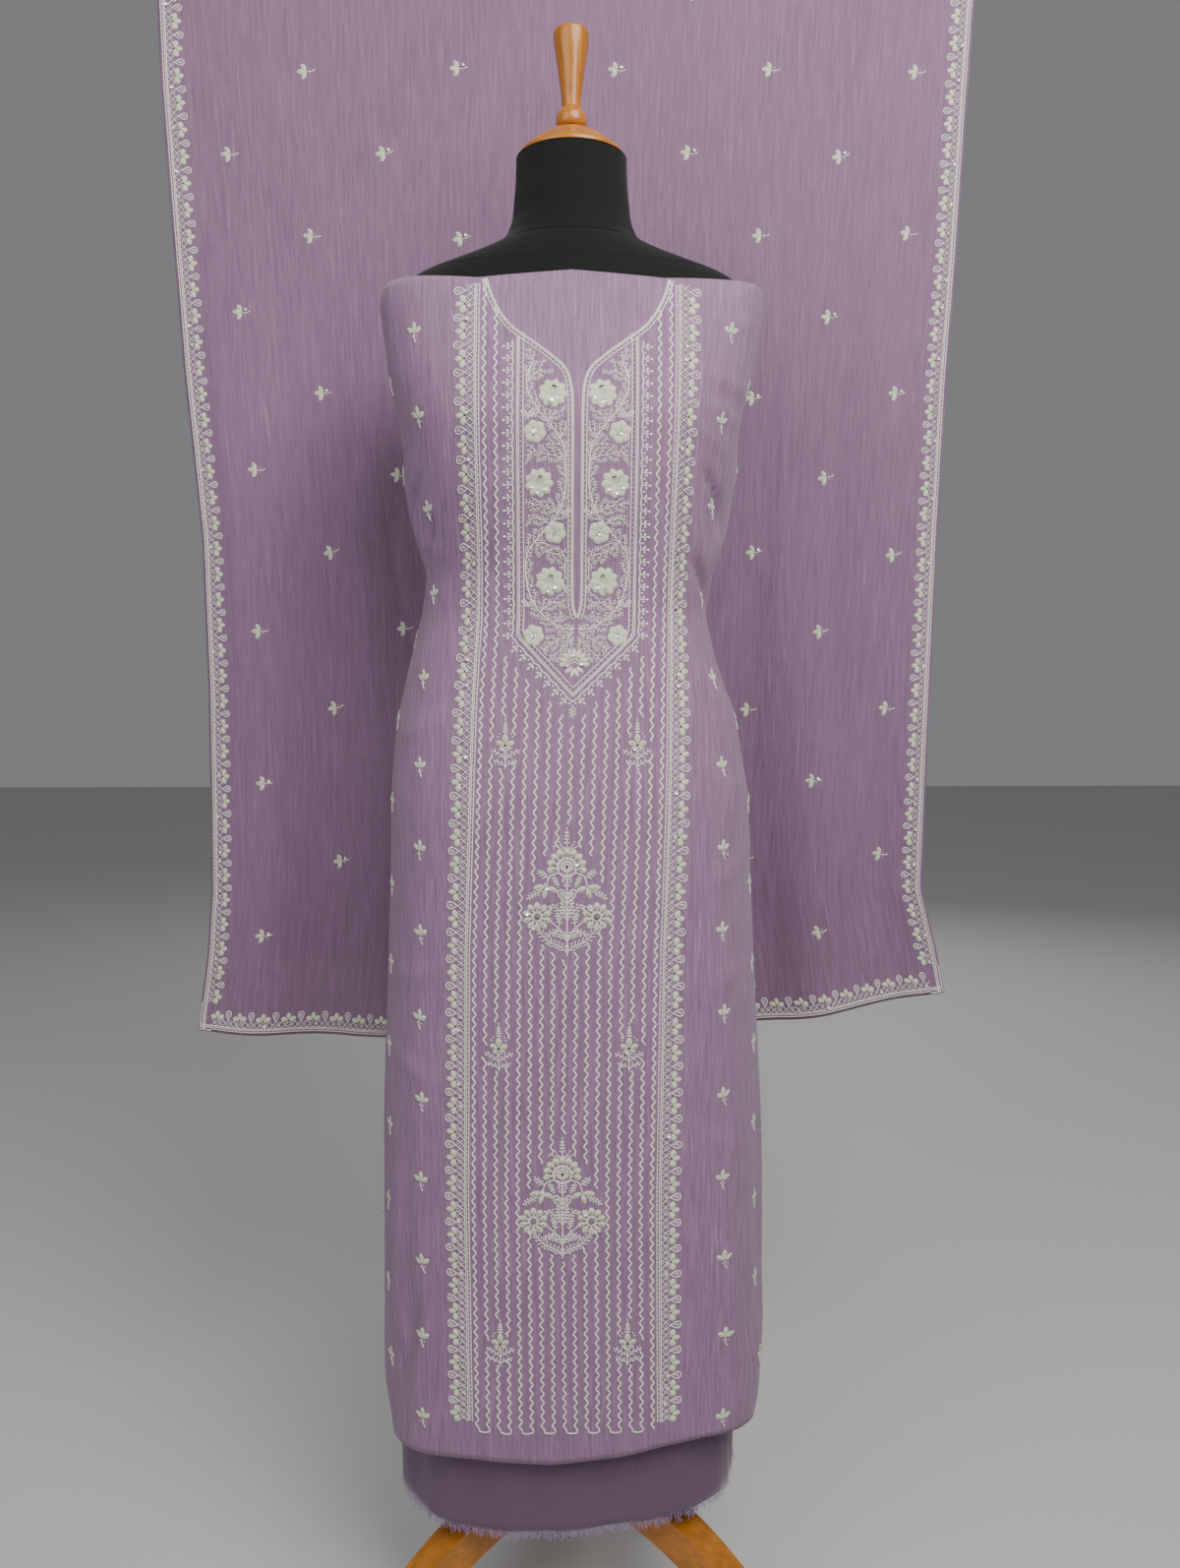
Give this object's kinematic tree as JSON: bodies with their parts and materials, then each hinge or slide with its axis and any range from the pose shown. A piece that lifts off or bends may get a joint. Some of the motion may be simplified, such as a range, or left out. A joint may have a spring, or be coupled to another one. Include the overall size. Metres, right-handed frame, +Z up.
{
  "type": "unstitched salwar kameez suit on a limbless dress form",
  "caption": "Embroidered lilac kameez length wrapped round a dress form over a plain violet salwar length, with a sheer dupatta folded over a rod behind it.",
  "frame": {"origin": "on the floor, under the centre of the whole set's bounding box", "axes": "+Z up, the front of the kameez faces -Y, +X to the viewer's right"},
  "size_m": [1, 0.5936, 1.8414],
  "materials": {
    "kameez_crepe": "crinkled crepe with cream thread embroidery",
    "salwar_crepe": "plain matt crepe with a frayed raw edge",
    "dupatta_voile": "sheer crinkled voile with cream thread embroidery",
    "embroidery_thread": "cream satin-stitch thread",
    "sequins": "small bright sequins and beads",
    "form_jersey": "black knitted jersey",
    "form_wood": "honey-coloured lacquered wood",
    "form_steel": "satin",
    "rack_steel": "satin"
  },
  "bodies": {
    "root": {"kameez": "kameez_crepe", "salwar": "salwar_crepe", "salwar_fringe": "salwar_crepe", "dupatta": "dupatta_voile", "form_torso": "form_jersey", "form_neck_cap": "form_wood", "form_finial": "form_wood", "form_hub": "form_wood", "form_leg_left": "form_wood", "form_leg_right": "form_wood", "form_leg_back": "form_wood", "form_column": "form_steel", "dupatta_rod": "rack_steel", "rack_post": "rack_steel", "rack_base": "rack_steel"}
  },
  "joints": []
}
